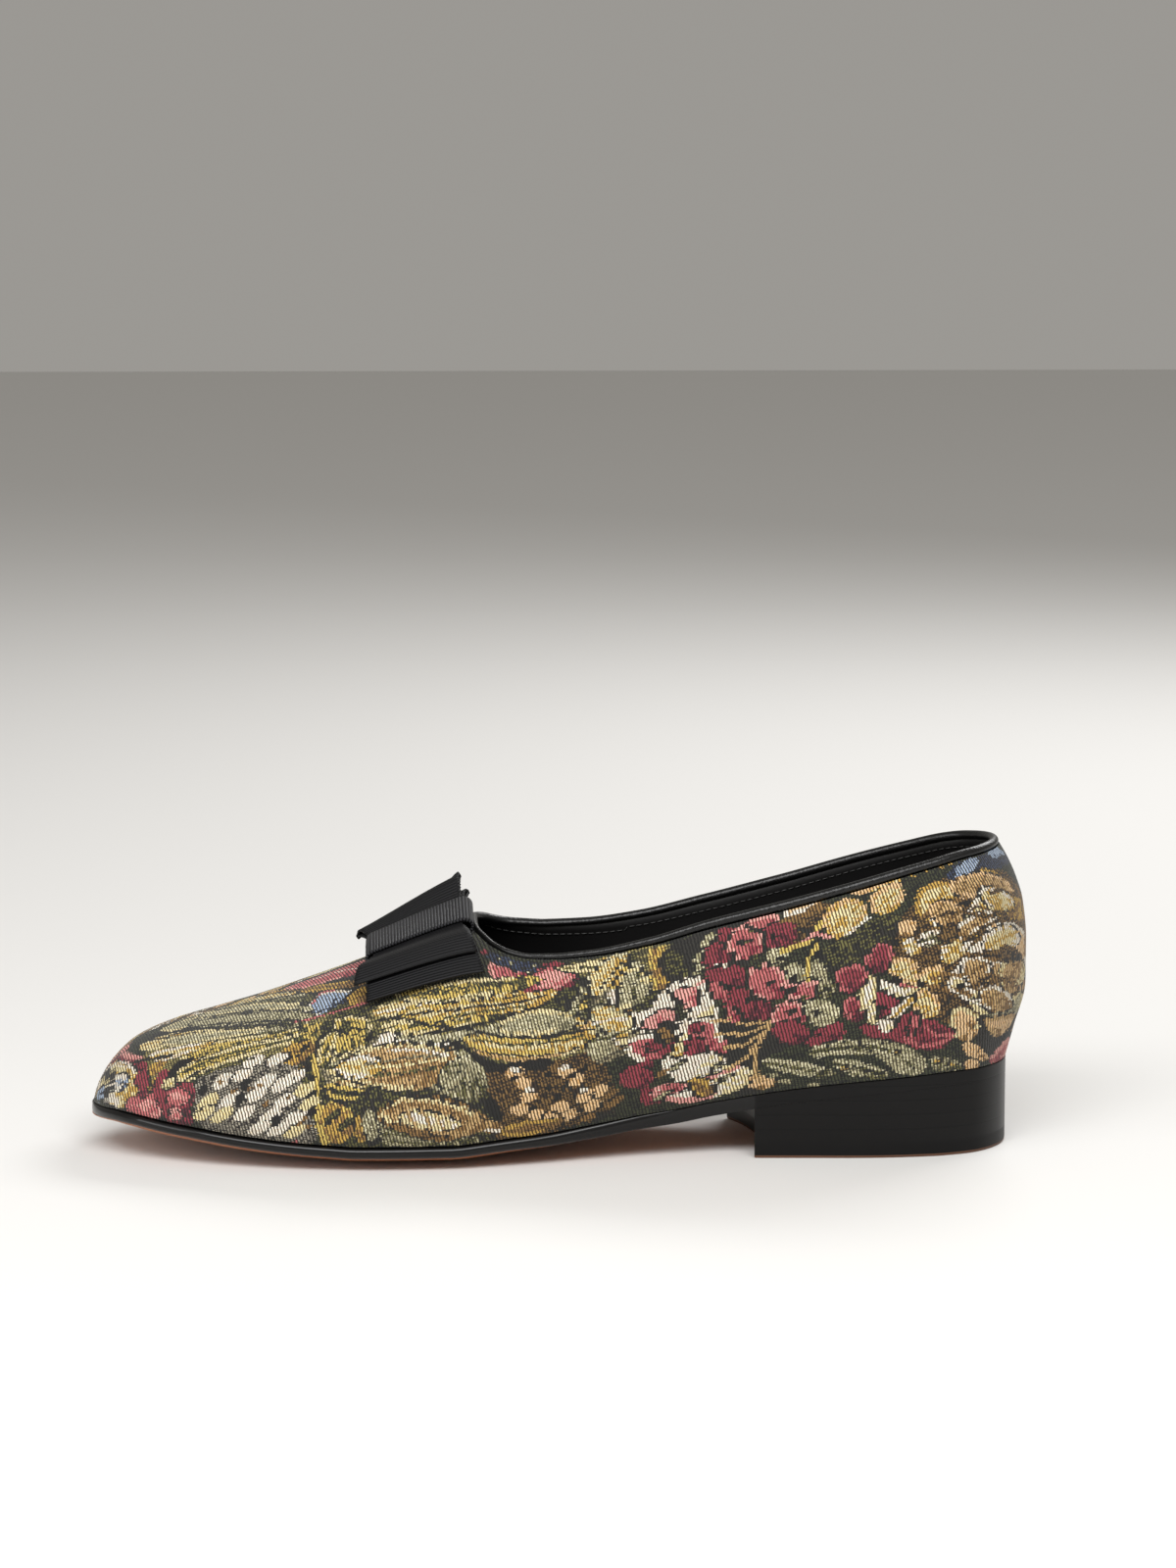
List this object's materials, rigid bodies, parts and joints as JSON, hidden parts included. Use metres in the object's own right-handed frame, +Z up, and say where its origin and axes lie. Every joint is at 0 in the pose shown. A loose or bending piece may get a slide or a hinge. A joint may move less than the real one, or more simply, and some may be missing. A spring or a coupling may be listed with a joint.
{
  "type": "opera pump",
  "caption": "Low-heeled opera pump with a cloth upper, a flat ribbon bow, a leather-bound collar, a leather sole and a stacked heel.",
  "frame": {"origin": "on the floor under the middle of the shoe's box", "axes": "-X to the toe, +X to the heel, -Y to the outer side of the foot, +Z up"},
  "size_m": [0.2706, 0.0822, 0.089],
  "materials": {
    "tapestry": "woven floral tapestry",
    "binding": "semi-gloss black leather",
    "sock": "matte black leather",
    "sole": "black edge, tan underside",
    "heel": "black stacked leather, polished",
    "top_piece": "matte black rubber",
    "ribbon": "ribbed black grosgrain"
  },
  "bodies": {
    "root": {"upper": "tapestry", "topline_binding": "binding", "insole": "sock", "outsole": "sole", "heel_stack": "heel", "heel_top_piece": "top_piece", "bow_lower_loops": "ribbon", "bow_upper_loops": "ribbon", "bow_knot": "ribbon"}
  },
  "joints": []
}
